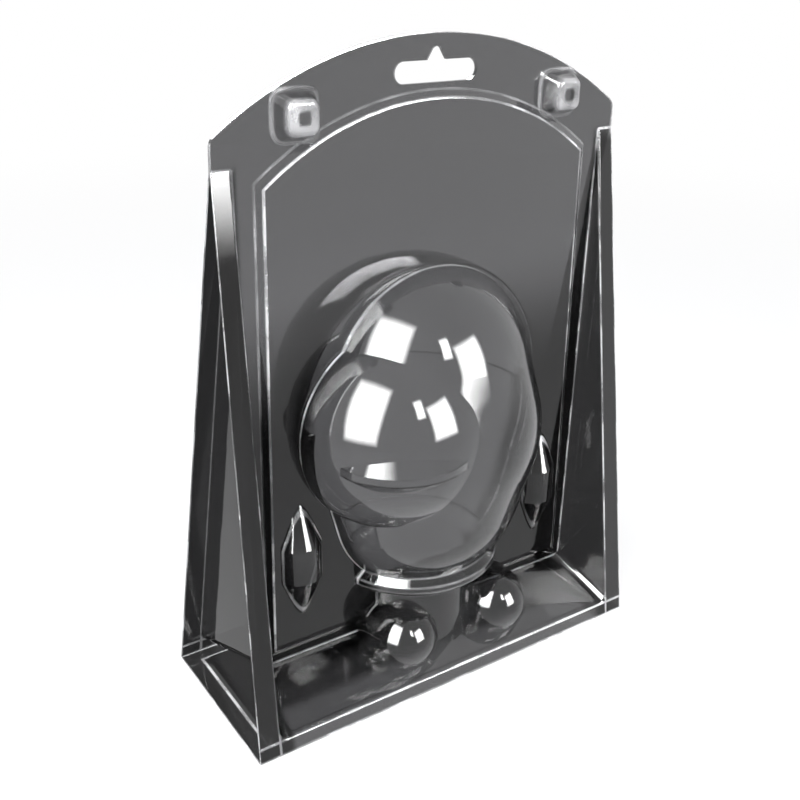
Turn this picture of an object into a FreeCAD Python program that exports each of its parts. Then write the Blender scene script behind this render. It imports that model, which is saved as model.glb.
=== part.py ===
import FreeCAD, Part
import math
import os

os.makedirs("parts", exist_ok=True)

# Clear tri-fold display pack, moulded from one sheet: a base panel and two leaning shells.
# Millimetres, +Z up, front towards -Y. The base panel rests on z = 0.
# The shells meet on an upright plane; it is y = 0 until the last step centres the pack.

# Sheet and running gaps
SHEET = 0.5
GAP = 0.3
HALF_GAP = GAP / 2
REACH = 12.0
BEVEL_SHARE = 2 - math.sqrt(2)
MEASURE_STEP = 0.1

# Base panel
BASE_WIDTH = 176.0
FRONT_DEPTH = 28.0
BACK_DEPTH = 44.0
HINGE_GAP = 0.4
FOOT_LIFT = 0.3
FIELD_INSET = 6.5
FIELD_RISE = 1.2
FIELD_SLOPE = 1.6
FIELD_CORNER = 4.0

# Outline of the shells, seen from the front
SHOULDER_WIDTH = 162.8
SHOULDER_Z = 214.3
CROWN_Z = 241.8
SHOULDER_RADIUS = 5.0
BEND_Z = 205.0

# Tray that sinks from the leaning flange back to the meeting plane
TRAY_TOP_HALF = 75.0
TRAY_FOOT_HALF = 74.0
FLANGE_FOOT_HALF = 79.5
CREASE_Z = 18.3
SHELF_FRONT_Z = 6.0
TRAY_CORNER = 4.0
FLANGE_ROUND = 1.1

# Raised arched panel that makes room for a card
PANEL_FOOT_Z = 22.0
PANEL_FOOT_HALF = 70.5
PANEL_TOP_HALF = 67.8
PANEL_SHOULDER_Z = 200.0
PANEL_CROWN_Z = 224.0
PANEL_RISE = 2.0
PANEL_SLOPE = 2.6
PANEL_SHOULDER_DROP = 1.8
PANEL_ROUND = 1.2

# Hang hole
SLOT_WIDTH = 33.0
SLOT_HEIGHT = 7.1
SLOT_Z = 229.7
PEAK_RISE = 4.2
PEAK_HALF = 5.0
PEAK_RADIUS = 2.2

# Snap buttons, one shell's nested in the other's
BUTTON_X = 53.0
BUTTON_Z = 219.5
BUTTON_TIP_HALF = 5.0
BUTTON_HEIGHT = 7.0
BUTTON_DRAFT = 0.36
BUTTON_CORNER = 2.6
PAD_HALF = 8.2
PAD_HEIGHT = 1.2
PAD_CORNER = 3.4
BUTTON_ROUND = 1.6

# Plain figure-shaped cavity between the shells: an egg built of three balls
FIGURE_Y = 9.0
HEAD_Z = 100.0
HEAD_RADIUS = 49.5
CROWN_RADIUS = 44.0
CROWN_RISE = 22.0
CHIN_RADIUS = 44.0
CHIN_DROP = 22.0
HOOD_Z = 108.0
HOOD_RADIUS = 53.5
HOOD_BAND = 3.5
HOOD_BEVEL = 3.0
FACE_RADIUS = 39.0
FACE_X = -17.0
FACE_Y = -2.0
FACE_Z = 107.0
LEDGE_RADIUS = 27.0
LEDGE_HEIGHT = 13.0
LEDGE_X = -24.0
LEDGE_Y = -17.0
LEDGE_Z = 105.0
LEDGE_BEVEL = 5.0
COLLAR_Z = 44.0
COLLAR_RADIUS = 35.0
COLLAR_HEIGHT = 8.0
COLLAR_BEVEL = 2.8
BODY_RADIUS = 27.0
ARM_X = 56.0
ARM_Y = 0.5
ARM_TOP_Z = 68.0
ARM_FOOT_Z = 54.0
ARM_RADIUS = 9.0
ARM_TIP = 2.5
ARM_TAPER = 18.0
TOE_LEFT_X = -17.0
TOE_RIGHT_X = 28.0
TOE_Y = -12.0
TOE_Z = 18.0
TOE_RADIUS = 14.0
TOE_LENGTH = 14.0


def vec(x, y, z):
    return FreeCAD.Vector(x, y, z)


def box_between(x0, x1, y0, y1, z0, z1):
    return Part.makeBox(x1 - x0, y1 - y0, z1 - z0, vec(x0, y0, z0))


def solid_between(lower, upper):
    """Straight-sided solid between two closed outlines with the same number of edges."""
    return Part.makeLoft([lower, upper], True, True)


def outward_face(rim, inside):
    """Flat face through corner points, facing away from a point inside the block."""
    face = Part.Face(Part.makePolygon(rim + rim[:1]))
    if face.normalAt(0, 0).dot(face.CenterOfMass - inside) > 0:
        return face
    turned_rim = rim[::-1]
    return Part.Face(Part.makePolygon(turned_rim + turned_rim[:1]))


def block_between(lower, upper):
    """Flat-sided block between two closed outlines of corner points."""
    count = len(lower)
    inside = sum(lower + upper, vec(0, 0, 0)) / (2 * count)
    rims = [lower, upper]
    for index in range(count):
        after = (index + 1) % count
        rims.append([lower[index], lower[after], upper[after], upper[index]])
    return Part.Solid(Part.Shell([outward_face(rim, inside) for rim in rims]))


def fuse_all(shapes):
    return shapes[0].multiFuse(shapes[1:])


def flange_y(depth, z):
    """Front face of the leaning flange at height z."""
    top = -HALF_GAP - SHEET
    return top - (depth + top) * (1 - z / BEND_Z)


def wedge(depth, inset):
    """Everything between the leaning flange and the meeting plane."""
    foot = FOOT_LIFT if inset == 0 else -REACH
    back = -HALF_GAP if inset == 0 else REACH
    points = [
        vec(-BASE_WIDTH, flange_y(depth, foot) + inset, foot),
        vec(-BASE_WIDTH, flange_y(depth, BEND_Z) + inset, BEND_Z),
        vec(-BASE_WIDTH, back, BEND_Z),
        vec(-BASE_WIDTH, back, foot),
    ]
    face = Part.Face(Part.makePolygon(points + points[:1]))
    return face.extrude(vec(2 * BASE_WIDTH, 0, 0))


def tray_half(depth, y, z):
    """Half width of the tray at a depth and a height: the side walls are drafted planes."""
    floor_y = -HALF_GAP - SHEET
    lean = (TRAY_TOP_HALF - TRAY_FOOT_HALF) / (BEND_Z - CREASE_Z)
    run = floor_y - flange_y(depth, SHELF_FRONT_Z)
    at_flange = TRAY_TOP_HALF + lean * (SHELF_FRONT_Z - BEND_Z)
    draft = (FLANGE_FOOT_HALF - at_flange) / run
    return TRAY_TOP_HALF + lean * (z - BEND_Z) + draft * (floor_y - y)


def shelf_z(depth, y):
    """Height of the tray's sloping shelf at a depth."""
    floor_y = -HALF_GAP - SHEET
    run = floor_y - flange_y(depth, SHELF_FRONT_Z)
    return CREASE_Z - (CREASE_Z - SHELF_FRONT_Z) * (floor_y - y) / run


def shelf_stretch(depth):
    """Upright thickness of the sloping shelf for each unit of sheet."""
    run = -HALF_GAP - SHEET - flange_y(depth, SHELF_FRONT_Z)
    return math.hypot(run, CREASE_Z - SHELF_FRONT_Z) / run


def tray(depth, grow):
    """The hollow in front of the tray's floor, walls and shelf, made larger by grow."""
    back_y = -HALF_GAP - SHEET if grow == 0 else REACH
    rims = []
    for y in (back_y, -depth - REACH):
        foot = shelf_z(depth, y) - grow * shelf_stretch(depth)
        top = BEND_Z + REACH
        low = tray_half(depth, y, foot) + grow
        high = tray_half(depth, y, top) + grow
        rims.append([vec(-low, y, foot), vec(low, y, foot), vec(high, y, top), vec(-high, y, top)])
    solid = block_between(rims[0], rims[1])
    corners = [e for e in solid.Edges if is_low_corner(e)]
    return solid.makeFillet(TRAY_CORNER + grow, corners)


def is_low_corner(edge):
    """True for an edge that runs front to back along the bottom of the tray."""
    a = edge.Vertexes[0].Point
    b = edge.Vertexes[1].Point
    return abs(a.y - b.y) > REACH and max(a.z, b.z) < BEND_Z


def rounded_rectangle(half_x, half_z, radius, centre, axis="y"):
    """Closed outline with round corners, square to the Y axis or to the Z axis."""
    straight = []
    bend = math.sqrt(0.5) * radius
    cx = half_x - radius
    cz = half_z - radius
    edges = []
    for sx, sz in ((1, -1), (1, 1), (-1, 1), (-1, -1)):
        if sx * sz < 0:
            start = (sx * cx, sz * half_z)
            end = (sx * half_x, sz * cz)
        else:
            start = (sx * half_x, sz * cz)
            end = (sx * cx, sz * half_z)
        middle = (sx * (cx + bend), sz * (cz + bend))
        straight.append((start, middle, end))
    place = {
        "y": lambda p: vec(centre.x + p[0], centre.y, centre.z + p[1]),
        "z": lambda p: vec(centre.x + p[0], centre.y + p[1], centre.z),
    }[axis]
    for index, (start, middle, end) in enumerate(straight):
        following = straight[(index + 1) % 4][0]
        edges.append(Part.Arc(place(start), place(middle), place(end)).toShape())
        edges.append(Part.makeLine(place(end), place(following)))
    return Part.Wire(edges)


def arched_outline(foot_half, top_half, foot_z, shoulder_z, crown_z, y):
    """Closed outline with straight sides and an arched top, at depth y."""
    left = vec(-top_half, y, shoulder_z)
    right = vec(top_half, y, shoulder_z)
    edges = [
        Part.makeLine(vec(-foot_half, y, foot_z), vec(foot_half, y, foot_z)),
        Part.makeLine(vec(foot_half, y, foot_z), right),
        Part.Arc(right, vec(0, y, crown_z), left).toShape(),
        Part.makeLine(left, vec(-foot_half, y, foot_z)),
    ]
    return Part.Wire(edges)


def outline_prism():
    """What is left of the sheet after it is cut out: wide foot, arched top, round shoulders."""
    foot_half = BASE_WIDTH / 2
    wire = arched_outline(foot_half, SHOULDER_WIDTH / 2, 0, SHOULDER_Z, CROWN_Z, -BASE_WIDTH)
    prism = Part.Face(wire).extrude(vec(0, 2 * BASE_WIDTH, 0))
    shoulders = [e for e in prism.Edges if is_shoulder(e)]
    return prism.makeFillet(SHOULDER_RADIUS, shoulders)


def is_shoulder(edge):
    """True for a front to back edge at the two top corners."""
    a = edge.Vertexes[0].Point
    b = edge.Vertexes[-1].Point
    return abs(a.y - b.y) > BASE_WIDTH and a.z > BEND_Z


def raised_panel(inset):
    """Raised arched panel with sloping edges."""
    floor_y = -HALF_GAP - SHEET
    outer = arched_outline(
        PANEL_FOOT_HALF, PANEL_TOP_HALF, PANEL_FOOT_Z, PANEL_SHOULDER_Z, PANEL_CROWN_Z, floor_y + inset
    )
    inner = arched_outline(
        PANEL_FOOT_HALF - PANEL_SLOPE,
        PANEL_TOP_HALF - PANEL_SLOPE,
        PANEL_FOOT_Z + PANEL_SLOPE,
        PANEL_SHOULDER_Z - PANEL_SHOULDER_DROP,
        PANEL_CROWN_Z - PANEL_SLOPE,
        floor_y - PANEL_RISE + inset,
    )
    slope = solid_between(outer, inner)
    tip = [e for e in slope.Edges if e.BoundBox.YMax < floor_y - PANEL_RISE + inset + HALF_GAP]
    slope = slope.makeFillet(PANEL_ROUND - inset, tip)
    if inset == 0:
        return slope
    return slope.fuse(Part.Face(outer).extrude(vec(0, REACH - floor_y - inset, 0)))


def button(x, inset, root):
    """Square snap button with round corners on a low pad, open at its root."""
    tip = -HALF_GAP - SHEET - BUTTON_HEIGHT + inset
    wires = []
    for y in (tip, root):
        half = BUTTON_TIP_HALF - inset + BUTTON_DRAFT * (y - tip + inset)
        wires.append(rounded_rectangle(half, half, BUTTON_CORNER, vec(x, y, BUTTON_Z)))
    pad_tip = -HALF_GAP - SHEET - PAD_HEIGHT + inset
    pad_wires = []
    for y in (pad_tip, root):
        half = PAD_HALF - inset + BUTTON_DRAFT * (y - pad_tip + inset)
        pad_wires.append(rounded_rectangle(half, half, PAD_CORNER, vec(x, y, BUTTON_Z)))
    stud = solid_between(wires[0], wires[1])
    rim = [e for e in stud.Edges if e.BoundBox.YMax < tip + HALF_GAP]
    stud = stud.makeFillet(BUTTON_ROUND - inset, rim)
    return stud.fuse(solid_between(pad_wires[0], pad_wires[1]))


def buttons(inset, root):
    return button(-BUTTON_X, inset, root).fuse(button(BUTTON_X, inset, root))


def hang_hole():
    """Long slot with a rounded peak in the middle, through both flanges."""
    radius = SLOT_HEIGHT / 2
    reach = SLOT_WIDTH / 2 - radius
    along = vec(0, 1, 0)
    slot = box_between(-reach, reach, -REACH, REACH, SLOT_Z - radius, SLOT_Z + radius)
    left = Part.makeCylinder(radius, 2 * REACH, vec(-reach, -REACH, SLOT_Z), along)
    right = Part.makeCylinder(radius, 2 * REACH, vec(reach, -REACH, SLOT_Z), along)
    tip_z = SLOT_Z + radius + PEAK_RISE - PEAK_RADIUS
    tip = Part.makeCylinder(PEAK_RADIUS, 2 * REACH, vec(0, -REACH, tip_z), along)
    lean = math.atan2(PEAK_HALF, tip_z - SLOT_Z)
    side_x = PEAK_RADIUS * math.cos(lean)
    side_z = tip_z + PEAK_RADIUS * math.sin(lean)
    points = [
        vec(-PEAK_HALF - PEAK_RADIUS / 2, -REACH, SLOT_Z),
        vec(PEAK_HALF + PEAK_RADIUS / 2, -REACH, SLOT_Z),
        vec(side_x, -REACH, side_z),
        vec(-side_x, -REACH, side_z),
    ]
    peak = Part.Face(Part.makePolygon(points + points[:1])).extrude(vec(0, 2 * REACH, 0))
    return fuse_all([slot, left, right, tip, peak])


def turned(edges, centre):
    """Solid turned about the upright line through centre."""
    face = Part.Face(Part.Wire(Part.__sortEdges__(edges)))
    return face.revolve(centre, vec(0, 0, 1), 360)


def tangent_angle(low, high, gap):
    """Slope of the straight side that touches two balls, the high one at a distance above the low one."""
    return math.asin((low - high) / gap)


def on_ball(centre, radius, angle):
    """Point on a ball's outline, at an angle above the level."""
    return centre + vec(radius * math.cos(angle), 0, radius * math.sin(angle))


def ball_arc(centre, radius, low, high):
    middle = on_ball(centre, radius, (low + high) / 2)
    return Part.Arc(on_ball(centre, radius, low), middle, on_ball(centre, radius, high)).toShape()


def head(inset):
    """Egg-shaped head: three balls, one above another, and the cones that touch them."""
    middle = vec(0, FIGURE_Y, HEAD_Z)
    chin = middle - vec(0, 0, CHIN_DROP)
    crown = middle + vec(0, 0, CROWN_RISE)
    below = tangent_angle(CHIN_RADIUS, HEAD_RADIUS, CHIN_DROP)
    above = tangent_angle(HEAD_RADIUS, CROWN_RADIUS, CROWN_RISE)
    chin_radius = CHIN_RADIUS - inset
    head_radius = HEAD_RADIUS - inset
    crown_radius = CROWN_RADIUS - inset
    right = math.pi / 2
    edges = [
        ball_arc(chin, chin_radius, -right, below),
        Part.makeLine(on_ball(chin, chin_radius, below), on_ball(middle, head_radius, below)),
        ball_arc(middle, head_radius, below, above),
        Part.makeLine(on_ball(middle, head_radius, above), on_ball(crown, crown_radius, above)),
        ball_arc(crown, crown_radius, above, right),
        Part.makeLine(on_ball(crown, crown_radius, right), on_ball(chin, chin_radius, -right)),
    ]
    return turned(edges, middle)


def hood(inset):
    """Wide plain dome behind the head, with a sloping lower rim."""
    foot = vec(0, FIGURE_Y, HOOD_Z + inset)
    top = vec(0, FIGURE_Y, HOOD_Z + HOOD_BAND)
    radius = HOOD_RADIUS - inset
    bevel = HOOD_BEVEL - inset * BEVEL_SHARE
    level = vec(radius, 0, 0)
    edges = [
        Part.makeLine(foot, foot + vec(radius - bevel, 0, 0)),
        Part.makeLine(foot + vec(radius - bevel, 0, 0), foot + level + vec(0, 0, bevel)),
        Part.makeLine(foot + level + vec(0, 0, bevel), top + level),
        ball_arc(top, radius, 0, math.pi / 2),
        Part.makeLine(top + vec(0, 0, radius), foot),
    ]
    return turned(edges, foot)


def lathe(points, centre):
    """Solid turned from an outline of (radius, height) points about the upright line at centre."""
    corners = [centre + vec(radius, 0, height) for radius, height in points]
    face = Part.Face(Part.makePolygon(corners + corners[:1]))
    return face.revolve(centre, vec(0, 0, 1), 360)


def bevelled_disc(radius, height, bevel, centre, inset):
    """Flat disc with sloping rims, moved in on all sides by inset."""
    rim = radius - inset
    half = height / 2 - inset
    slope = bevel - inset * BEVEL_SHARE
    points = [(0, -half), (rim - slope, -half), (rim, slope - half)]
    points += [(rim, half - slope), (rim - slope, half), (0, half)]
    return lathe(points, centre)


def collar(inset):
    """Round collar under the head."""
    return bevelled_disc(COLLAR_RADIUS, COLLAR_HEIGHT, COLLAR_BEVEL, vec(0, FIGURE_Y, COLLAR_Z), inset)


def ledge(inset):
    """Plain rounded ledge across the front of the head."""
    return bevelled_disc(LEDGE_RADIUS, LEDGE_HEIGHT, LEDGE_BEVEL, vec(LEDGE_X, LEDGE_Y, LEDGE_Z), inset)


def body(inset):
    """Round body from the collar down into the shelf."""
    foot = vec(0, FIGURE_Y, -REACH)
    return Part.makeCylinder(BODY_RADIUS - inset, COLLAR_Z + REACH, foot)


def capsule(start, end, radius):
    """Round-ended rod between two points."""
    along = end - start
    rod = Part.makeCylinder(radius, along.Length, start, along)
    return fuse_all([rod, Part.makeSphere(radius, start), Part.makeSphere(radius, end)])


def face_bulge(inset):
    """Rounded swell on the side of the head that faces left."""
    return Part.makeSphere(FACE_RADIUS - inset, vec(FACE_X, FACE_Y, FACE_Z))


def arms(inset):
    """Slim lobe on each side, thickest in the middle and tapered to blunt tips."""
    rods = []
    middle = (ARM_TOP_Z + ARM_FOOT_Z) / 2
    straight = (ARM_TOP_Z - ARM_FOOT_Z) / 2
    tip = straight + ARM_TAPER - inset
    for side in (-1, 1):
        points = [(0, -tip), (ARM_TIP - inset, -tip), (ARM_RADIUS - inset, -straight)]
        points += [(ARM_RADIUS - inset, straight), (ARM_TIP - inset, tip), (0, tip)]
        rods.append(lathe(points, vec(side * ARM_X, ARM_Y, middle)))
    return fuse_all(rods)


def toes(inset):
    rods = []
    for x in (TOE_LEFT_X, TOE_RIGHT_X):
        heel = vec(x, TOE_Y + TOE_LENGTH, TOE_Z)
        tip = vec(x, TOE_Y, TOE_Z)
        rods.append(capsule(heel, tip, TOE_RADIUS - inset))
    return fuse_all(rods)


def figure(inset):
    """The figure's front: head, face, ledge, collar, body, arms and toes."""
    trunk = [head(inset), collar(inset), body(inset), arms(inset)]
    return fuse_all(trunk + [face_bulge(inset), ledge(inset), toes(inset)])


def back_figure(inset):
    """The figure's plain back, turned to face -Y: head, hood, collar, body and arms."""
    size = 2 * BASE_WIDTH
    under_hood = box_between(-size, size, -size, size, -size, HOOD_Z + HOOD_BAND / 2)
    below = head(inset).common(under_hood)
    return mirrored(fuse_all([below, hood(inset), collar(inset), body(inset), arms(inset)]))


def flange(depth, inset):
    """The leaning wedge with its tray sunk in, and the creases between them rounded."""
    solid = wedge(depth, inset).cut(tray(depth, inset))
    creases = [e for e in solid.Edges if is_crease(e, depth, inset)]
    return solid.makeFillet(FLANGE_ROUND - inset, creases)


def is_crease(edge, depth, inset):
    """True for an edge down the sides or foot of the tray, where it meets the leaning flange."""
    points = [edge.Vertexes[0].Point, edge.Vertexes[-1].Point]
    if min(point.z for point in points) > BEND_Z / 2:
        return False
    on_flange = all(abs(point.y - flange_y(depth, point.z) - inset) < HALF_GAP / 2 for point in points)
    return on_flange and all(abs(point.x) < BASE_WIDTH / 2 for point in points)


def plate():
    """Flat sheet on the meeting plane: the top flange and the tray's floor."""
    half = BASE_WIDTH
    return box_between(-half, half, -HALF_GAP - SHEET, -HALF_GAP, SHELF_FRONT_Z, CROWN_Z + REACH)


def shell_sheet(depth, bulges_out, bulges_in):
    """One leaning shell, bulging towards -Y, trimmed to the outline."""
    outside = [plate(), flange(depth, 0)] + bulges_out
    inside = [flange(depth, SHEET)] + bulges_in
    sheet = fuse_all(outside).cut(fuse_all(inside))
    return sheet.common(outline_prism())


def front_half(shape):
    """What lies in front of the meeting plane."""
    size = 2 * BASE_WIDTH
    return shape.common(box_between(-size, size, -size, -HALF_GAP, -size, size))


def mirrored(shape):
    return shape.mirror(vec(0, 0, 0), vec(0, 1, 0))


def above_foot(shape):
    """Bulges reach no lower than the foot of the shell."""
    size = 2 * BASE_WIDTH
    return shape.common(box_between(-size, size, -size, size, FOOT_LIFT, size))


def front_shell():
    out = [front_half(above_foot(figure(0))), raised_panel(0), buttons(0, -HALF_GAP)]
    inner = [figure(SHEET), raised_panel(SHEET), buttons(SHEET, REACH)]
    return shell_sheet(FRONT_DEPTH, out, inner).cut(hang_hole())


def back_shell():
    out = [front_half(above_foot(back_figure(0)))]
    sheet = mirrored(shell_sheet(BACK_DEPTH, out, [back_figure(SHEET)])).cut(hang_hole())
    male = buttons(SHEET + GAP, HALF_GAP + SHEET)
    hollow = buttons(2 * SHEET + GAP, REACH)
    return sheet.fuse(male).cut(hollow)


def field(inset, root):
    """Raised field that stiffens the base panel."""
    half_x = BASE_WIDTH / 2 - FIELD_INSET
    half_y = (FRONT_DEPTH + BACK_DEPTH) / 2 - FIELD_INSET
    middle = (BACK_DEPTH - FRONT_DEPTH) / 2
    low = rounded_rectangle(half_x, half_y, FIELD_CORNER, vec(0, middle, root), "z")
    high = rounded_rectangle(
        half_x - FIELD_SLOPE,
        half_y - FIELD_SLOPE,
        FIELD_CORNER - FIELD_SLOPE,
        vec(0, middle, SHEET + FIELD_RISE - inset),
        "z",
    )
    return solid_between(low, high)


def base_panel():
    half = BASE_WIDTH / 2
    front = -FRONT_DEPTH + SHEET + HINGE_GAP
    back = BACK_DEPTH - SHEET - HINGE_GAP
    panel = box_between(-half, half, front, back, 0, SHEET)
    return panel.fuse(field(0, SHEET)).cut(field(SHEET, 0))


def middle_y(shapes):
    """Middle of the whole pack, front to back."""
    ys = [point.y for shape in shapes for point in shape.tessellate(MEASURE_STEP)[0]]
    return (min(ys) + max(ys)) / 2


def save(shape, name):
    print(name, "solids", len(shape.Solids), "valid", shape.isValid(), "volume", round(shape.Volume))
    shape.exportStep("parts/" + name + ".step")


panels = {"base_panel": base_panel(), "front_shell": front_shell(), "back_shell": back_shell()}
shift = -middle_y(panels.values())
print("meeting plane at y", round(shift, 3))
for name, panel in panels.items():
    panel = panel.removeSplitter()
    panel.translate(vec(0, shift, 0))
    save(panel, name)
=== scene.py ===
# %% [markdown]
# A clear tri-fold display pack. On the real thing one thin plastic sheet is vacuum formed
# and folded: a base panel, and two leaning shells that meet back to back and snap
# together. The shapes could be built again here, but the solid model already has every
# fold, button and dome, so it is loaded as a fixed frame, and this lesson adds the room,
# the light and the finish.

# %% Load the frame
import math

import bpy
from mathutils import Matrix, Vector

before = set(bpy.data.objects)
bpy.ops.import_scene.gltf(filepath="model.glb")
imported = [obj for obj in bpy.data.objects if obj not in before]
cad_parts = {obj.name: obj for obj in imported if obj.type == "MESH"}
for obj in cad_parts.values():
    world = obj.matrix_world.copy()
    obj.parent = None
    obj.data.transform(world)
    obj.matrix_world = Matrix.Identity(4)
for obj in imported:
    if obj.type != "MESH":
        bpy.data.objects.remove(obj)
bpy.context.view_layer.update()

print("nodes:", sorted(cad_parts))

# %% [markdown]
# The camera stands a little to the left of the pack and looks down on it. It could be
# aimed by eye, but its heading, tilt and roll were worked out from the pack's own
# corners, so they are written as three angles and a place. The lens comes from the focal
# length in pixels of the square frame.

# %% Camera
VIEW_HEADING = 0.593
VIEW_TILT = 0.426
VIEW_ROLL = 0.016
VIEW_PLACE = Vector((-0.205904, -0.297009, 0.2715))
FOCAL_PIXELS = 1035.479
FRAME_PIXELS = 800
SENSOR_MM = 36.0


def camera_axes(heading, tilt, roll):
    """The camera's right, up and forward directions."""
    level_share = math.cos(tilt)
    ahead = Vector((
        math.sin(heading) * level_share,
        math.cos(heading) * level_share,
        -math.sin(tilt),
    ))
    level = Vector((math.cos(heading), -math.sin(heading), 0))
    above = level.cross(ahead)
    right = math.cos(roll) * level + math.sin(roll) * above
    up = math.cos(roll) * above - math.sin(roll) * level
    return right, up, ahead


right, up, ahead = camera_axes(VIEW_HEADING, VIEW_TILT, VIEW_ROLL)
turn = Matrix((right, up, -ahead)).transposed().to_4x4()
camera = bpy.data.objects.new("camera", bpy.data.cameras.new("camera"))
bpy.context.collection.objects.link(camera)
camera.data.sensor_width = SENSOR_MM
camera.data.lens = FOCAL_PIXELS / FRAME_PIXELS * SENSOR_MM
camera.matrix_world = Matrix.Translation(VIEW_PLACE) @ turn
bpy.context.scene.camera = camera
bpy.context.scene.view_settings.view_transform = "Standard"
print("lens:", round(camera.data.lens, 2), "mm, camera at", VIEW_PLACE[:])

# %% [markdown]
# Every finish is a tree of nodes. Wired by hand, each node takes four or five lines, and
# this pack needs some hundreds of them, because its pale folds are sums of distances. So
# a small class holds one tree and gives short names to what is done most: add a node, do
# a sum, fade from one value to another, and join masks. A mask is a value that is 1 on
# the place that is meant and 0 everywhere else.

# %% Node tools


def empty_tree(owner):
    """The node tree of a material, a lamp or a world, switched on and cleared."""
    owner.use_nodes = True
    owner.node_tree.nodes.clear()
    return owner.node_tree


class Recipe:
    """A node tree under construction, with short ways to add and join nodes."""

    def __init__(self, tree):
        self.nodes = tree.nodes
        self.join = tree.links.new

    def add(self, kind, **inputs):
        """A new node; each input takes a number, a colour or another node's socket."""
        node = self.nodes.new(kind)
        for name, value in inputs.items():
            self.feed(node.inputs[name.replace("_", " ")], value)
        return node

    def feed(self, socket, value):
        """Join a socket to another one, or write a plain value on it."""
        if isinstance(value, bpy.types.NodeSocket):
            self.join(value, socket)
        else:
            socket.default_value = value

    def math(self, operation, *values):
        """The result of one sum."""
        node = self.nodes.new("ShaderNodeMath")
        node.operation = operation
        for socket, value in zip(node.inputs, values):
            self.feed(socket, value)
        return node.outputs[0]


print("node tools:", [name for name in vars(Recipe) if not name.startswith("_")])

# %% [markdown]
# Masks are drawn with a smooth step, which fades softly where a plain comparison would
# leave a hard stair. Two masks are multiplied to keep what is in both, and the larger of
# the two is taken to keep what is in either.

# %% Masks


class Masks(Recipe):
    """A recipe that can also fade a value and join masks."""

    def ramp(self, value, start, end, low=0.0, high=1.0):
        """Smooth step from low, where the value is start, to high, where it is end."""
        node = self.nodes.new("ShaderNodeMapRange")
        node.interpolation_type = "SMOOTHSTEP"
        limits = {"From Min": start, "From Max": end, "To Min": low, "To Max": high}
        for name, number in limits.items():
            node.inputs[name].default_value = number
        self.feed(node.inputs["Value"], value)
        return node.outputs[0]

    def all_of(self, *masks):
        """What every mask holds."""
        found = masks[0]
        for mask in masks[1:]:
            found = self.math("MULTIPLY", found, mask)
        return found

    def any_of(self, *masks):
        """What at least one mask holds."""
        found = masks[0]
        for mask in masks[1:]:
            found = self.math("MAXIMUM", found, mask)
        return found

    def seen_directly(self):
        """1 for a look from the camera, in a mirror or through glass, else 0."""
        path = self.add("ShaderNodeLightPath")
        looks = ("Is Camera Ray", "Is Glossy Ray", "Is Transmission Ray")
        return self.any_of(*[path.outputs[name] for name in looks])


print("mask tools:", [name for name in vars(Masks) if not name.startswith("_")])

# %% [markdown]
# A see-through pack shows the room in every curve, so the room matters as much as the
# plastic. The floor is one wide pale disc. A plain white floor would need strong lamps to
# look white, so it also glows a little to the eye, to mirrors and to glass. The glow is
# held back near the pack, so that the pack's soft shadow stays.

# %% Floor
FLOOR_RADIUS = 14.0
FLOOR_CORNERS = 96
FLOOR_COLOUR = (0.86, 0.86, 0.87, 1)
FLOOR_GLOW = 0.72
SHADOW_REACH = 0.35
WHITE_REACH = 1.1


def pale_floor():
    """Dull pale paint that glows more and more away from the pack."""
    material = bpy.data.materials.new("pale_floor")
    recipe = Masks(empty_tree(material))
    distance = recipe.nodes.new("ShaderNodeVectorMath")
    distance.operation = "LENGTH"
    recipe.join(recipe.add("ShaderNodeTexCoord").outputs["Object"], distance.inputs[0])
    glow = recipe.ramp(distance.outputs["Value"], SHADOW_REACH, WHITE_REACH, FLOOR_GLOW)
    mix = recipe.add("ShaderNodeMixShader", Fac=recipe.all_of(glow, recipe.seen_directly()))
    paint = recipe.add("ShaderNodeBsdfDiffuse", Color=FLOOR_COLOUR)
    recipe.join(paint.outputs[0], mix.inputs[1])
    recipe.join(recipe.add("ShaderNodeEmission").outputs[0], mix.inputs[2])
    recipe.add("ShaderNodeOutputMaterial", Surface=mix.outputs[0])
    return material


bpy.ops.mesh.primitive_circle_add(
    vertices=FLOOR_CORNERS, radius=FLOOR_RADIUS, fill_type="NGON"
)
floor = bpy.context.object
floor.name = "floor"
floor.data.materials.append(pale_floor())
print("floor:", FLOOR_RADIUS, "m radius")

# %% [markdown]
# The room is dim and even, and behind the pack hangs a white backdrop. A real backdrop
# would be a curved sheet of paper with lamps of its own. Here it is the world itself,
# white only where it is looked at, directly, in a mirror or through glass, so that it
# adds no light to the pack.

# %% Room and backdrop
ROOM_COLOUR = (0.92, 0.94, 1.0, 1)
ROOM_LIGHT = 0.35
BACKDROP_COLOUR = (1, 1, 1, 1)

world = bpy.data.worlds.new("room")
bpy.context.scene.world = world
recipe = Masks(empty_tree(world))
choose = recipe.add("ShaderNodeMixShader", Fac=recipe.seen_directly())
dim = recipe.add("ShaderNodeBackground", Color=ROOM_COLOUR, Strength=ROOM_LIGHT)
backdrop = recipe.add("ShaderNodeBackground", Color=BACKDROP_COLOUR)
recipe.join(dim.outputs[0], choose.inputs[1])
recipe.join(backdrop.outputs[0], choose.inputs[2])
recipe.add("ShaderNodeOutputWorld", Surface=choose.outputs[0])
print("room light:", ROOM_LIGHT)

# %% [markdown]
# The lamps of a small studio are soft boxes: large flat lamps behind cloth. They could be
# turned by hand, one by one, but a lamp that always faces the middle of the pack needs
# only a place and a size. None is seen by the camera or through the plastic, because a
# lamp in the picture would be a white patch in the air.

# %% A lamp that faces the pack
PACK_MIDDLE = Vector((0, 0, 0.12))


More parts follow.
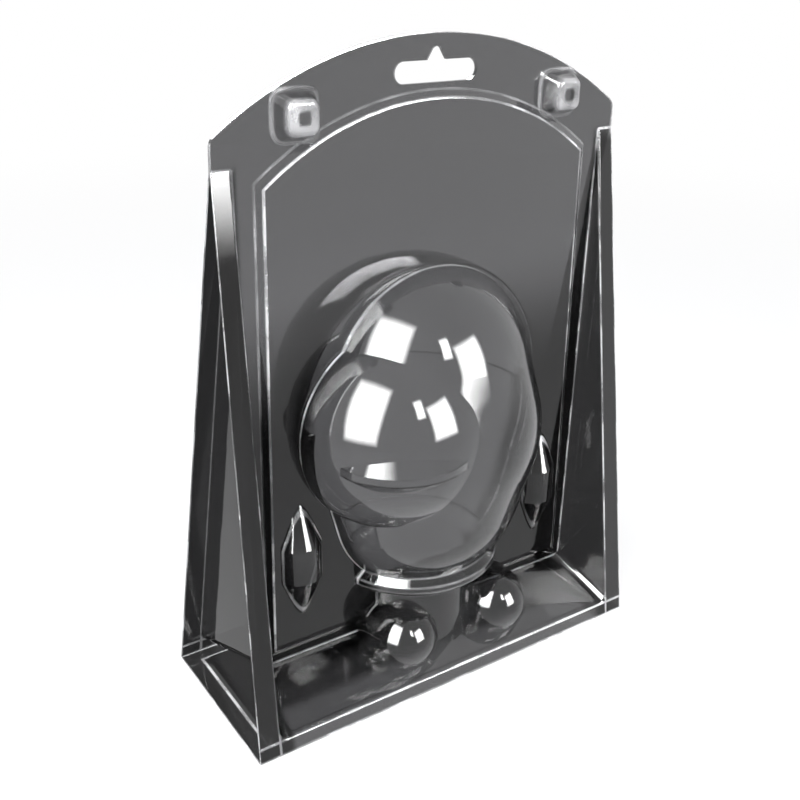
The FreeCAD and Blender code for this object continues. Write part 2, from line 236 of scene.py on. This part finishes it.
def facing_lamp(name, away, width, height, power):
    """A flat lamp that stands away from the middle of the pack and faces it."""
    lamp = bpy.data.objects.new(name, bpy.data.lights.new(name, "AREA"))
    lamp.data.shape = "RECTANGLE"
    lamp.data.size = width
    lamp.data.size_y = height
    lamp.data.energy = power
    lamp.location = PACK_MIDDLE + away
    lamp.rotation_euler = away.to_track_quat("Z", "Y").to_euler()
    lamp.visible_camera = False
    lamp.visible_transmission = False
    bpy.context.collection.objects.link(lamp)
    print(name, "stands", round(away.length, 2), "m away,", power, "W")
    return lamp


print("lamps face", round(PACK_MIDDLE.z, 3), "m above the table")

# %% [markdown]
# On clear plastic a soft box shows as a bright window on every dome and flat face. Real
# cloth is brightest in the middle and fades at its edges, so the glow does too: the
# lamp's own coordinates run from 0 to 1 across it, and the larger of the two distances
# from its middle makes the fade rectangular.

# %% Glow of a soft box
LAMP_FADE = 0.6
LAMP_LEVEL = 2.0


def soft_glow(light):
    """Even over the middle of the lamp and fading to nothing at its four edges."""
    recipe = Masks(empty_tree(light))
    across_lamp = recipe.add("ShaderNodeNewGeometry").outputs["Parametric"]
    place = recipe.add("ShaderNodeSeparateXYZ", Vector=across_lamp)
    steps = []
    for axis in ("X", "Y"):
        centred = recipe.math("MULTIPLY_ADD", place.outputs[axis], 2.0, -1.0)
        steps.append(recipe.math("ABSOLUTE", centred))
    level = recipe.ramp(recipe.math("MAXIMUM", *steps), 1.0, LAMP_FADE, 0.0, LAMP_LEVEL)
    glow = recipe.add("ShaderNodeEmission", Strength=level)
    recipe.add("ShaderNodeOutputLight", Surface=glow.outputs[0])


print("glow fades from", LAMP_FADE, "of the way to the edge")

# %% [markdown]
# The windows on the domes come from five boxes, placed where the eye expects them: a tall
# one on the left, a lower one and a small one on the right, one above and one behind.
# They stand four metres off, because a box that is close shines on one flange and misses
# its neighbour. They light nothing dull, or they would burn out the floor.

# %% Soft boxes
BOX_DISTANCE = 4.0
BOXES = {  # direction from the pack, width and height in metres, power in watts
    "left_box": ((-0.78, -0.36, 0.52), 3.2, 5.4, 1150),
    "right_box": ((0.42, -0.88, 0.30), 2.2, 2.8, 400),
    "small_box": ((0.03, -0.83, 0.56), 0.7, 1.5, 70),
    "top_box": ((-0.25, 0.45, 0.86), 2.6, 1.5, 150),
    "back_box": ((0.17, 0.85, 0.50), 3.2, 1.5, 1600),
}

for name, (direction, width, height, power) in BOXES.items():
    away = Vector(direction).normalized() * BOX_DISTANCE
    box = facing_lamp(name, away, width, height, power)
    box.visible_diffuse = False
    soft_glow(box.data)

# %% [markdown]
# One plain key lamp lights what is dull: the floor and the whitened folds. It is left out
# of reflections, because the soft boxes already draw those.

# %% Key lamp
KEY_AWAY = Vector((-0.5, -0.6, 1.4))
KEY_SIZE = 1.2
KEY_POWER = 45

key_box = facing_lamp("key_box", KEY_AWAY, KEY_SIZE, KEY_SIZE, KEY_POWER)
key_box.visible_glossy = False

# %% [markdown]
# The sheet is clear plastic, glossy on both faces, and its smoky grey tint is painted shade:
# the darkness of a dim background seen through it. It could be faked with a flat see-through
# shader, but each shell is a real half-millimetre solid, so real glass refraction works on
# it. What changes from place to place is how much shade is painted into it and where pale
# lines are painted, partly whitening and partly painted highlight. Both are found from where
# a point lies on the pack. The pack is the same on both sides, so most sums use the distance
# from its middle, the depth out from the plane where the shells meet, and the height.

# %% Places on the sheet
MILLIMETRE = 0.001
MEETING_Y = -9.245


class Places(Masks):
    """A recipe that knows where a point is on the pack, in millimetres."""

    def __init__(self, tree, facing):
        super().__init__(tree)
        self.place = self.add("ShaderNodeTexCoord").outputs["Object"]
        split = self.add("ShaderNodeSeparateXYZ", Vector=self.place)
        scale = 1 / MILLIMETRE
        self.across = self.math("MULTIPLY", split.outputs["X"], scale)
        self.side = self.math("ABSOLUTE", self.across)
        away = self.math("MULTIPLY_ADD", split.outputs["Y"], scale, -MEETING_Y)
        self.depth = self.math("MULTIPLY", away, facing)
        self.height = self.math("MULTIPLY", split.outputs["Z"], scale)

    def plane(self, side, depth, height, offset):
        """Distance from the plane side * |x| + depth * y + height * z = offset."""
        length = math.sqrt(side * side + depth * depth + height * height)
        total = self.math("MULTIPLY_ADD", self.side, side / length, -offset / length)
        total = self.math("MULTIPLY_ADD", self.depth, depth / length, total)
        return self.math("MULTIPLY_ADD", self.height, height / length, total)

    def arch(self, middle_z, radius):
        """Distance from an upright round arch."""
        rise = self.math("SUBTRACT", self.height, middle_z)
        rise_squared = self.math("MULTIPLY", rise, rise)
        squares = self.math("MULTIPLY_ADD", self.side, self.side, rise_squared)
        return self.math("SUBTRACT", self.math("SQRT", squares), radius)

    def post(self, middle_depth, radius):
        """Distance from an upright round post in the middle of the pack."""
        away = self.math("SUBTRACT", self.depth, middle_depth)
        away_squared = self.math("MULTIPLY", away, away)
        squares = self.math("MULTIPLY_ADD", self.side, self.side, away_squared)
        return self.math("SUBTRACT", self.math("SQRT", squares), radius)


print("place tools:", [name for name in vars(Places) if not name.startswith("_")])

# %% [markdown]
# A fold in a clear sheet turns a little whitish, and folds and cut edges also catch the light
# as bright lines. So the pale lines here are partly whitening and partly painted highlight.
# The lines could be painted on a picture that is wrapped round the shell, but a picture blurs
# close up. A fold is where two flat faces meet, so a point is on it when it is near both
# planes, and that stays sharp at any size.

# %% Pale lines: whitening and painted highlight
CREASE_WIDTH = 0.75
RING_WIDTH = 0.7
SOLID_SHARE = 0.4


class Sheet(Places):
    """The recipe of one formed sheet, with the lines that can be drawn on it."""

    def near(self, distance, width):
        """1 on a line and 0 at this width from it, with a soft edge."""
        return self.ramp(self.math("ABSOLUTE", distance), width, width * SOLID_SHARE)

    def above(self, value, level):
        """1 where the value is larger than the level."""
        return self.math("GREATER_THAN", value, level)

    def below(self, value, level):
        """1 where the value is smaller than the level."""
        return self.math("LESS_THAN", value, level)

    def crease(self, first, second):
        """The line where two planes cross."""
        return self.all_of(self.near(first, CREASE_WIDTH), self.near(second, CREASE_WIDTH))

    def ring(self, middle_depth, radius, level_z):
        """A level round edge at one height."""
        round_face = self.post(middle_depth, radius)
        level = self.math("SUBTRACT", self.height, level_z)
        return self.all_of(self.near(round_face, RING_WIDTH), self.near(level, RING_WIDTH))


print("line tools:", [name for name in vars(Sheet) if not name.startswith("_")])

# %% [markdown]
# Each shell leans from its foot to a bend near the top, where both turn upright and lie
# back to back. A tray with sloping walls is pressed into it, with a sloping shelf at its
# foot. Its faces are all flat, so five planes give all of its folds. The two shells
# differ only in how far their foot stands out, which is the one number asked for.

# %% Folds of a shell
BEND_Z = 205.0
PLATE_DEPTH = 0.65
SHELF_BACK_Z = 18.3
SHELF_FRONT_Z = 6.0
TRAY_TOP_HALF = 75.0
TRAY_LEAN = 0.00536
TRAY_SPREAD = 5.57


def shell_folds(sheet, foot):
    """Folds of the flange, the tray, its shelf and the bend of one shell."""
    lean = (foot - PLATE_DEPTH) / BEND_Z
    run = (foot - PLATE_DEPTH) * (1 - SHELF_FRONT_Z / BEND_Z)
    draft = TRAY_SPREAD / run
    fall = (SHELF_BACK_Z - SHELF_FRONT_Z) / run
    wall_offset = TRAY_TOP_HALF - TRAY_LEAN * BEND_Z - draft * PLATE_DEPTH
    flange = sheet.plane(0, 1, lean, foot)
    wall = sheet.plane(1, -draft, -TRAY_LEAN, wall_offset)
    tray_floor = sheet.plane(0, 1, 0, PLATE_DEPTH / 2)
    shelf = sheet.plane(0, fall, 1, SHELF_BACK_Z + fall * PLATE_DEPTH)
    bend = sheet.near(sheet.plane(0, 0, 1, BEND_Z), CREASE_WIDTH)
    under_bend = sheet.below(sheet.height, BEND_Z)
    return sheet.any_of(
        sheet.all_of(sheet.crease(flange, wall), under_bend),
        sheet.crease(flange, shelf),
        sheet.all_of(sheet.crease(wall, tray_floor), under_bend),
        sheet.crease(shelf, tray_floor),
        sheet.all_of(bend, sheet.above(sheet.side, TRAY_TOP_HALF)),
    )


print("shells bend at", BEND_Z, "mm")

# %% [markdown]
# The outline of a shell was cut from the sheet with a steel rule, and a cut edge scatters
# light, so its rim is painted as a pale line, a painted highlight. A solid has no open edge
# that could be picked out by itself, so the rim is found from its outline: a slightly leaning
# side, a round top and a straight foot.

# %% Cut rim of a shell
RIM_WIDTH = 0.4
EDGE_HALF = 88.0
EDGE_LEAN = 0.0308
TOP_ARCH_Z = 107.6
TOP_ARCH_RADIUS = 134.2
TOP_ARCH_FROM = 214.0
FOOT_EDGE = 1.1


def shell_rim(sheet):
    """The sides, the round top and the foot of one shell."""
    side = sheet.near(sheet.plane(1, 0, EDGE_LEAN, EDGE_HALF), RIM_WIDTH)
    top = sheet.near(sheet.arch(TOP_ARCH_Z, TOP_ARCH_RADIUS), RIM_WIDTH)
    on_top = sheet.above(sheet.height, TOP_ARCH_FROM)
    foot = sheet.near(sheet.height, FOOT_EDGE)
    return sheet.any_of(side, sheet.all_of(top, on_top), foot)


print("half width at the foot:", EDGE_HALF, "mm")

# %% [markdown]
# The front shell carries a raised arched panel, which stiffens it like the lid of a tin. Its
# slope has a pale line at its foot and a brighter one at its tip: painted highlights where
# the slope's edges catch the light. Each line is two leaning sides and a round top, with no
# line at the bottom.

# %% Lines of the raised panel
PANEL_LEAN = 0.01517
PANEL_LINE_WIDTH = 0.8 * CREASE_WIDTH
PANEL_DEEPEST = 3.2
FAINT_LINE = 0.5
FULL_LINE = 1.0
PANEL_LINES = (
    {"arch_z": 116.2, "radius": 107.8, "shoulder": 200.0, "half": 70.83, "foot": 22.0,
     "strength": FAINT_LINE},
    {"arch_z": 118.2, "radius": 103.2, "shoulder": 198.2, "half": 68.27, "foot": 24.6,
     "strength": FULL_LINE},
)


def panel_line(sheet, arch_z, radius, shoulder, half, foot, strength):
    """One line round the raised panel, open at the bottom."""
    high = sheet.above(sheet.height, shoulder)
    low = sheet.all_of(sheet.math("SUBTRACT", 1.0, high), sheet.above(sheet.height, foot))
    side = sheet.near(sheet.plane(1, 0, PANEL_LEAN, half), PANEL_LINE_WIDTH)
    top = sheet.near(sheet.arch(arch_z, radius), PANEL_LINE_WIDTH)
    both = sheet.any_of(sheet.all_of(high, top), sheet.all_of(low, side))
    return sheet.all_of(both, strength)


def panel_lines(sheet):
    """Both lines, kept off the domes that stand out of the panel."""
    lines = [panel_line(sheet, **sizes) for sizes in PANEL_LINES]
    return sheet.all_of(sheet.any_of(*lines), sheet.below(sheet.depth, PANEL_DEEPEST))


print("panel lines:", len(PANEL_LINES))

# %% [markdown]
# Two snap buttons hold the shells together. They are small square posts with round corners on
# a square pad, drawn deep and sharp, and they get the brightest painted highlight: a wide
# pale line round the tip and a fainter one round the pad. A plain distance would draw a
# circle. Raising both steps to the fourth power first draws the rounded square.

# %% Painted highlights of the snap buttons
BUTTON_X = 53.0
BUTTON_Z = 219.5
SQUARENESS = 4.0
TIP_HALF = 3.8
TIP_LINE_WIDTH = 2.4
TIP_DEPTH = 4.5
PAD_HALF = 8.2
PAD_LINE_WIDTH = 0.9
PAD_HEIGHT = 1.2
PAD_FADE = 1.0
BUTTON_HIGHLIGHT = 0.9


def rounded_square(sheet, middle_x, middle_z):
    """Distance from a middle, the same all the way round a rounded square."""
    powers = []
    for value, middle in ((sheet.side, middle_x), (sheet.height, middle_z)):
        step = sheet.math("ABSOLUTE", sheet.math("SUBTRACT", value, middle))
        powers.append(sheet.math("POWER", step, SQUARENESS))
    return sheet.math("POWER", sheet.math("ADD", *powers), 1 / SQUARENESS)


def button_highlights(sheet):
    """Painted highlight on the rim of the button's tip and, fainter, on that of its pad."""
    square = rounded_square(sheet, BUTTON_X, BUTTON_Z)
    tip = sheet.near(sheet.math("SUBTRACT", square, TIP_HALF), TIP_LINE_WIDTH)
    tip = sheet.all_of(tip, sheet.above(sheet.depth, TIP_DEPTH))
    pad = sheet.near(sheet.math("SUBTRACT", square, PAD_HALF), PAD_LINE_WIDTH)
    low = sheet.near(sheet.math("SUBTRACT", sheet.depth, PAD_HEIGHT), PAD_FADE)
    return sheet.all_of(sheet.any_of(tip, sheet.all_of(pad, low, FAINT_LINE)), BUTTON_HIGHLIGHT)


print("snap buttons at", BUTTON_X, "mm each side,", BUTTON_Z, "mm up")

# %% [markdown]
# The big hollow in the middle was pressed over a rounded form. Its foot, where it rises from
# the flat panel, is painted as a thin pale line all the way round, partly whitening and
# partly painted highlight. The line is simply a band of depth just over that of the panel,
# inside the part of the panel that has the hollow.

# %% Foot of the hollow
HOLLOW_RISE = 0.9
HOLLOW_LINE_WIDTH = 0.7
HOLLOW_HALF = 66.0
HOLLOW_FOOT_Z = 26.0
HOLLOW_TOP_Z = 200.0


def hollow_foot(sheet, panel_depth):
    """The line where the rounded forms rise from the flat panel."""
    rise = sheet.math("SUBTRACT", sheet.depth, panel_depth + HOLLOW_RISE)
    return sheet.all_of(
        sheet.near(rise, HOLLOW_LINE_WIDTH),
        sheet.below(sheet.side, HOLLOW_HALF),
        sheet.above(sheet.height, HOLLOW_FOOT_Z),
        sheet.below(sheet.height, HOLLOW_TOP_Z),
    )


print("line at the foot of the hollow:", HOLLOW_LINE_WIDTH, "mm")

# %% [markdown]
# Round the neck of the hollow runs a flat collar with sloping rims, and the back half has a
# plain round hood over its top. Their edges are level rings about one upright line, which
# lies behind the meeting plane, so the front shell sees it at a depth below zero. The rings
# get a fainter painted highlight.

# %% Rings of the collar and the hood
HOLLOW_DEPTH = 9.0
RING_HIGHLIGHT = 0.5
COLLAR_Z = 44.0
COLLAR_RADIUS = 35.0
COLLAR_HEIGHT = 8.0
COLLAR_BEVEL = 2.8
HOOD_Z = 108.0
HOOD_RADIUS = 53.5
HOOD_BEVEL = 3.0


def collar_rings(sheet, middle_depth):
    """The four edges of the collar's sloping rims."""
    half = COLLAR_HEIGHT / 2
    inner = COLLAR_RADIUS - COLLAR_BEVEL
    edges = (
        (COLLAR_RADIUS, half - COLLAR_BEVEL),
        (COLLAR_RADIUS, COLLAR_BEVEL - half),
        (inner, half),
        (inner, -half),
    )
    return [sheet.ring(middle_depth, radius, COLLAR_Z + rise) for radius, rise in edges]


def hood_rings(sheet, middle_depth):
    """The two edges of the sloping rim under the hood."""
    return [
        sheet.ring(middle_depth, HOOD_RADIUS, HOOD_Z + HOOD_BEVEL),
        sheet.ring(middle_depth, HOOD_RADIUS - HOOD_BEVEL, HOOD_Z),
    ]


print("collar at", COLLAR_Z, "mm, hood from", HOOD_Z, "mm")

# %% [markdown]
# The grey of the plastic is painted shade, the darkness of a dim background seen through it,
# and how much is painted changes from place to place. It is painted palest in the upper
# window of the tray, over the rounded forms and in the upright top, and darkest in the side
# walls and the leaning flanges. Four soft steps find those places, and a mix of two tints
# follows them.

# %% Painted shade
WINDOW_FADE_Z = (105, 165)
DRAWN_FADE_DEPTH = (4, 12)
TRAY_FADE_SIDE = (75.5, 72.5)
TOP_FADE_Z = (200, 207)


def paint_shade_tint(sheet, pale, dark):
    """Painted shade as the plastic's tint, from its dark walls to its pale window."""
    window = sheet.ramp(sheet.height, *WINDOW_FADE_Z)
    drawn = sheet.ramp(sheet.depth, *DRAWN_FADE_DEPTH)
    in_tray = sheet.ramp(sheet.side, *TRAY_FADE_SIDE)
    top = sheet.ramp(sheet.height, *TOP_FADE_Z)
    less_painted_shade = sheet.any_of(sheet.all_of(sheet.any_of(window, drawn), in_tray), top)
    tints = {"Color1": (*dark, 1), "Color2": (*pale, 1)}
    return sheet.add("ShaderNodeMixRGB", Fac=less_painted_shade, **tints).outputs[0]


print("window clears from", WINDOW_FADE_Z[0], "to", WINDOW_FADE_Z[1], "mm")

# %% [markdown]
# The pale lines are partly whitening of the folds and partly painted highlight on folds and
# cut rims, and neither is even: a fold is whiter where it was bent harder. A soft noise takes
# some of it away in patches, and never all of it.

# %% Whitening and painted highlight
FOLD_WHITE_AND_HIGHLIGHT = 0.75
RIM_HIGHLIGHT = 0.8
PATCH_SCALE = 45.0
PATCH_STEP = (0.35, 0.65)
PATCH_LEAST = 0.3


def paint_whitening_and_highlight(sheet, folds, rims):
    """How white the folds (partly whitening, partly painted highlight) and the rims (painted
    highlight) are painted, from 0 to 1.
    """
    patch = sheet.add("ShaderNodeTexNoise", Vector=sheet.place, Scale=PATCH_SCALE)
    uneven = sheet.ramp(patch.outputs[0], *PATCH_STEP, PATCH_LEAST)
    painted_folds = sheet.all_of(folds, FOLD_WHITE_AND_HIGHLIGHT)
    painted_rims = sheet.all_of(rims, RIM_HIGHLIGHT)
    return sheet.all_of(sheet.any_of(painted_folds, painted_rims), uneven)


print("a fold turns up to", FOLD_WHITE_AND_HIGHLIGHT, "white")

# %% [markdown]
# Vacuum forming leaves faint waves in a sheet, which bend the reflections a little, and
# handling leaves a fine haze. The waves are a soft bump, far too low to model. The haze
# is a speckled roughness, and a whitened fold is rougher still.

# %% Waves and haze
WAVE_SCALE = 30.0
WAVE_DETAIL = 2.0
WAVE_STRENGTH = 0.25
WAVE_HEIGHT = 0.0004
SPECK_SCALE = 900.0
HAZE_LEAST = 0.02
HAZE_MOST = 0.08
FOLD_HAZE = 0.4


def waves(sheet):
    """The faint unevenness that forming leaves."""
    wave = sheet.add(
        "ShaderNodeTexNoise", Vector=sheet.place, Scale=WAVE_SCALE, Detail=WAVE_DETAIL
    )
    bump = sheet.add(
        "ShaderNodeBump", Strength=WAVE_STRENGTH, Distance=WAVE_HEIGHT, Height=wave.outputs[0]
    )
    return bump.outputs[0]


def haze(sheet, white_and_highlight):
    """Fine specks of roughness, and more of it along the painted pale lines."""
    speck = sheet.add("ShaderNodeTexNoise", Vector=sheet.place, Scale=SPECK_SCALE)
    specks = sheet.ramp(speck.outputs[0], 0.0, 1.0, HAZE_LEAST, HAZE_MOST)
    return sheet.math("MULTIPLY_ADD", white_and_highlight, FOLD_HAZE, specks)


print("roughness from", HAZE_LEAST, "to", round(HAZE_MOST + FOLD_HAZE, 2))

# %% [markdown]
# All of it comes together in one shader: glassy, tinted with painted shade, and painted
# white, rough and less clear along the folds and rims, partly whitening and partly painted
# highlight. The shells differ only in their tints and in which lines they have, so one
# function makes the finish of all three pieces.

# %% The finish of a sheet
SHEET_IOR = 1.45
# Colour and opacity of the pale lines, partly whitening and partly painted highlight.
WHITE_AND_HIGHLIGHT_COLOUR = (0.93, 0.93, 0.94, 1)
WHITE_AND_HIGHLIGHT_OPACITY = 0.8


def formed_sheet(name, facing, pale, dark, find_lines):
    """Clear plastic with painted shade as its tint, pale creases of whitening and painted
    highlight, and a faint unevenness.
    """
    material = bpy.data.materials.new(name)
    sheet = Sheet(empty_tree(material), facing)
    white_and_highlight = paint_whitening_and_highlight(sheet, *find_lines(sheet))
    painted_shade = paint_shade_tint(sheet, pale, dark)
    colour = sheet.add("ShaderNodeMixRGB", Fac=white_and_highlight, Color1=painted_shade, Color2=WHITE_AND_HIGHLIGHT_COLOUR)
    plastic = sheet.add(
        "ShaderNodeBsdfPrincipled",
        Base_Color=colour.outputs[0],
        Transmission_Weight=sheet.math("SUBTRACT", 1.0, sheet.all_of(white_and_highlight, WHITE_AND_HIGHLIGHT_OPACITY)),
        Roughness=haze(sheet, white_and_highlight),
        IOR=SHEET_IOR,
        Normal=waves(sheet),
    )
    sheet.add("ShaderNodeOutputMaterial", Surface=plastic.outputs[0])
    return material


def dress(name, material):
    """Give a piece of the solid model its finish."""
    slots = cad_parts[name].data.materials
    slots.clear()
    slots.append(material)
    print(name, "wears", material.name, "of", len(material.node_tree.nodes), "nodes")


print("the plastic bends light with an index of", SHEET_IOR)

# %% [markdown]
# The front shell has everything: the folds of its tray, the raised panel, the front half of
# the hollow and the outer snap buttons. All pieces are the same plastic and could share one
# tint, but the front one gets the least painted shade, so that what lies behind it can still
# be seen.

# %% Front shell
FRONT_FOOT = 28.0
FRONT_PANEL_DEPTH = 2.65
PALE_FRONT = (0.44, 0.44, 0.447)
DARK_FRONT = (0.03, 0.03, 0.0305)
TO_THE_FRONT = -1


def front_lines(sheet):
    """The folds and the cut rim of the front shell."""
    rings = sheet.all_of(sheet.any_of(*collar_rings(sheet, -HOLLOW_DEPTH)), RING_HIGHLIGHT)
    hollow = sheet.any_of(hollow_foot(sheet, FRONT_PANEL_DEPTH), rings)
    folds = sheet.any_of(shell_folds(sheet, FRONT_FOOT), panel_lines(sheet), hollow)
    return sheet.any_of(folds, button_highlights(sheet)), shell_rim(sheet)


front_sheet = formed_sheet("front_sheet", TO_THE_FRONT, PALE_FRONT, DARK_FRONT, front_lines)
dress("front_shell", front_sheet)

# %% [markdown]
# The back shell is deeper and has no raised panel. Its half of the hollow ends in the hood.
# It is painted a step darker, painted shade on the same plastic, so that the two sheets can
# be told apart where one lies behind the other.

# %% Back shell
BACK_FOOT = 44.0
PALE_BACK = (0.22, 0.22, 0.224)
DARK_BACK = (0.022, 0.022, 0.0225)
TO_THE_BACK = 1


def back_lines(sheet):
    """The folds and the cut rim of the back shell."""
    rings = hood_rings(sheet, HOLLOW_DEPTH) + collar_rings(sheet, HOLLOW_DEPTH)
    rings = sheet.all_of(sheet.any_of(*rings), RING_HIGHLIGHT)
    hollow = sheet.any_of(hollow_foot(sheet, PLATE_DEPTH), rings)
    return sheet.any_of(shell_folds(sheet, BACK_FOOT), hollow), shell_rim(sheet)


back_sheet = formed_sheet("back_sheet", TO_THE_BACK, PALE_BACK, DARK_BACK, back_lines)
dress("back_shell", back_sheet)

# %% [markdown]
# The base panel lies on the table, and its tint is painted shade, from the back shell's pale
# tint to the front shell's dark one. A shallow raised field keeps it flat, and it shows as
# one pale rectangle a little inside the cut rim, partly whitening and partly painted
# highlight, while the cut rim gets a painted highlight. Both are straight lines, so they
# could be drawn as four thin strips, but one plane for each line keeps them in the same
# finish.

# %% Base panel
BASE_RIM_FRONT = 27.2
BASE_RIM_BACK = -43.1
FIELD_INSET = 6.5
FIELD_FRONT = FRONT_FOOT - FIELD_INSET
FIELD_BACK = FIELD_INSET - BACK_FOOT
FIELD_HALF = EDGE_HALF - FIELD_INSET
FIELD_LINE_HALF = 82.0


def line_across(sheet, depth, width):
    """A straight line from side to side, at one depth."""
    return sheet.near(sheet.plane(0, 1, 0, depth), width)


def line_along(sheet, side, width):
    """A straight line from front to back, on both sides."""
    return sheet.near(sheet.plane(1, 0, 0, side), width)


def base_lines(sheet):
    """The raised field and the cut rim of the base panel."""
    front_and_back = sheet.any_of(
        line_across(sheet, FIELD_FRONT, CREASE_WIDTH),
        line_across(sheet, FIELD_BACK, CREASE_WIDTH),
    )
    in_field = sheet.all_of(
        sheet.below(sheet.depth, FIELD_FRONT), sheet.above(sheet.depth, FIELD_BACK)
    )
    field = sheet.any_of(
        sheet.all_of(front_and_back, sheet.below(sheet.side, FIELD_LINE_HALF)),
        sheet.all_of(line_along(sheet, FIELD_HALF, CREASE_WIDTH), in_field),
    )
    rim = sheet.any_of(
        line_across(sheet, BASE_RIM_FRONT, RIM_WIDTH),
        line_across(sheet, BASE_RIM_BACK, RIM_WIDTH),
        line_along(sheet, EDGE_HALF, RIM_WIDTH),
    )
    return field, rim


base_sheet = formed_sheet("base_sheet", TO_THE_FRONT, PALE_BACK, DARK_FRONT, base_lines)
dress("base_panel", base_sheet)

# %% [markdown]
# The finish changes no size.
